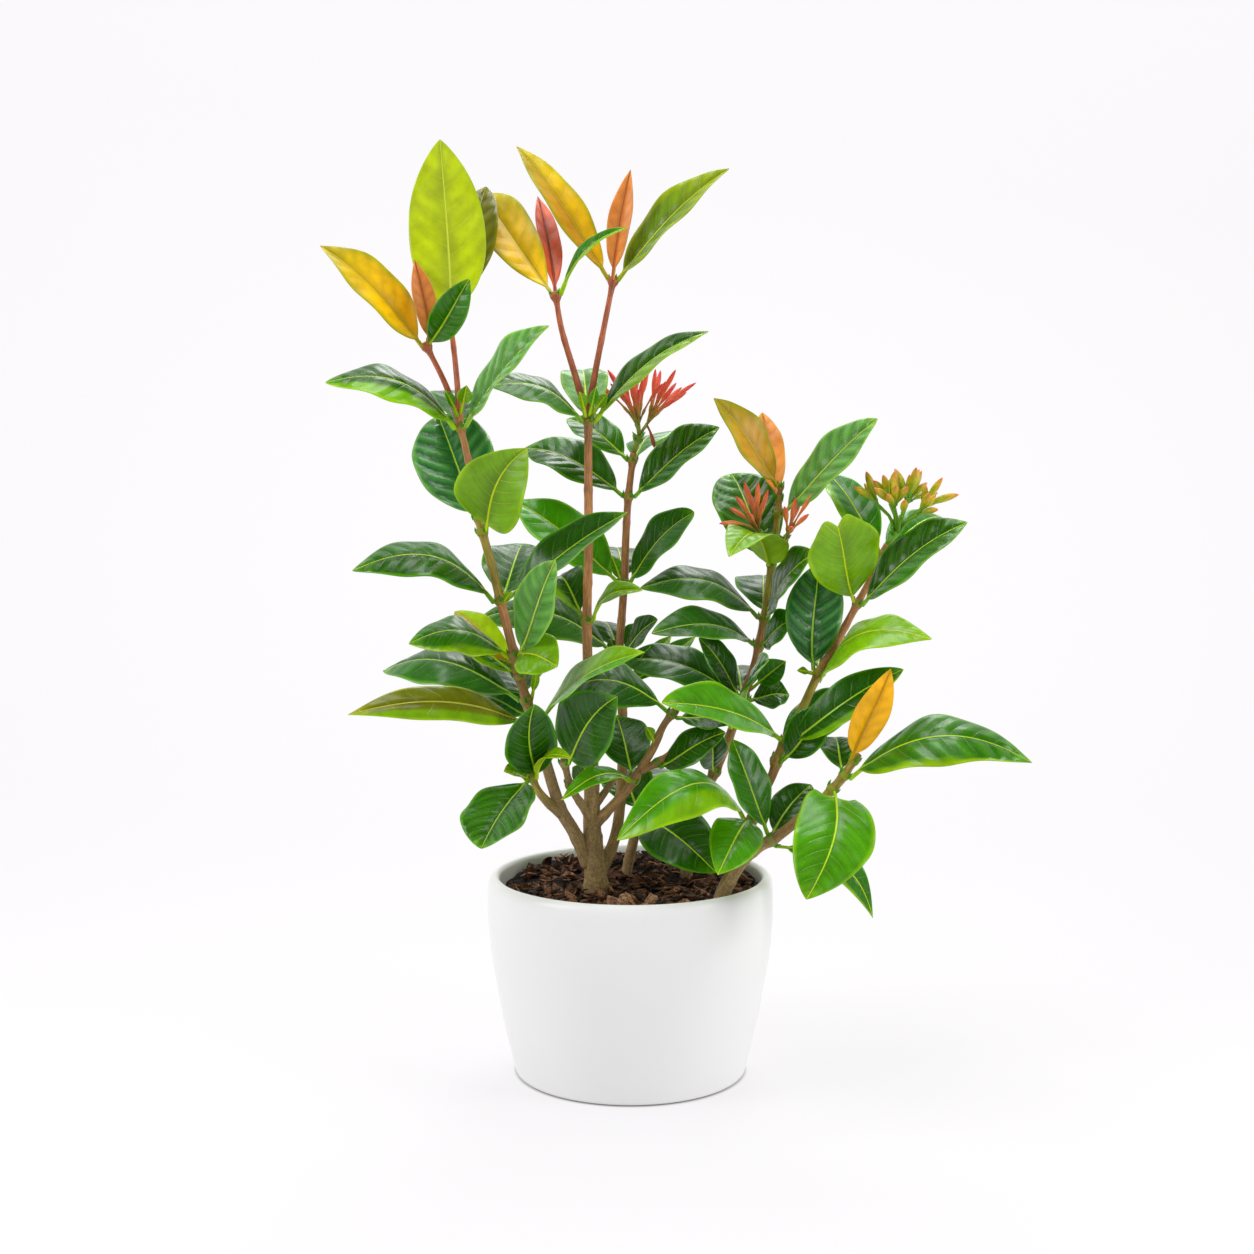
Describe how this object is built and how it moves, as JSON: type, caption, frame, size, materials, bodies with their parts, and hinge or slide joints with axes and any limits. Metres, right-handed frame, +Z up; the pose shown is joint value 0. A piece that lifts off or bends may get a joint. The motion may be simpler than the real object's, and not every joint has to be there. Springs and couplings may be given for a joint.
{
  "type": "potted ixora plant",
  "caption": "Ixora shrub with woody forked stems, opposite glossy leaves and heads of unopened buds, standing in bark mix in a plain white glazed round pot.",
  "frame": {"origin": "middle of the pot's flat base, where it rests on the surface below it", "axes": "+Z up along the pot's axis, +X towards the side with the widest low leaf, -Y towards the front of the plant"},
  "size_m": [0.4193, 0.2106, 0.5813],
  "materials": {
    "glaze": "gloss",
    "bark": "matte",
    "wood": "matte",
    "leaf_dark": "satin",
    "leaf_mid": "satin",
    "leaf_lime": "satin",
    "leaf_gold": "satin",
    "leaf_orange": "satin",
    "leaf_red": "satin",
    "bud_red": "satin",
    "bud_orange": "satin",
    "bud_yellow": "satin"
  },
  "bodies": {
    "root": {"back_crown": "leaf_mid", "back_fourth": "leaf_dark", "back_second": "leaf_dark", "back_third": "leaf_dark", "bark_mix": "bark", "centre_crown": "leaf_dark", "centre_middle": "leaf_mid", "crown_left": "leaf_dark", "head_orange": "bud_orange", "head_red": "bud_red", "head_yellow": "bud_yellow", "left_fifth": "leaf_dark", "left_fifth_lime": "leaf_lime", "left_fourth": "leaf_dark", "left_fourth_young": "leaf_gold", "left_second": "leaf_dark", "left_second_lime": "leaf_lime", "left_third": "leaf_dark", "left_twig_leaves": "leaf_mid", "low_branch": "leaf_dark", "low_branch_upper": "leaf_dark", "low_right_gold": "leaf_gold", "low_right_hanging": "leaf_dark", "low_right_heart": "leaf_lime", "low_right_large": "leaf_dark", "low_twig_leaves": "leaf_mid", "low_twig_small": "leaf_dark", "middle_first": "leaf_dark", "middle_fourth": "leaf_dark", "middle_gold": "leaf_gold", "middle_green": "leaf_mid", "middle_low": "leaf_dark", "middle_orange": "leaf_orange", "middle_second": "leaf_dark", "middle_third": "leaf_mid", "pot": "glaze", "right_crown": "leaf_lime", "right_second": "leaf_dark", "right_third": "leaf_lime", "right_third_low": "leaf_dark", "right_top": "leaf_dark", "rim_leaves": "leaf_mid", "short_stem_leaves": "leaf_dark", "stem_main": "wood", "stem_middle": "wood", "stem_right": "wood", "stem_short": "wood", "top_gold": "leaf_gold", "top_green": "leaf_mid", "top_olive": "leaf_gold", "top_orange": "leaf_orange", "top_red": "leaf_red", "top_slender": "leaf_mid", "upper_left_folded": "leaf_dark", "upper_left_gold": "leaf_gold", "upper_left_lime": "leaf_lime", "upper_left_orange": "leaf_orange", "upper_left_shade": "leaf_dark"}
  },
  "joints": []
}
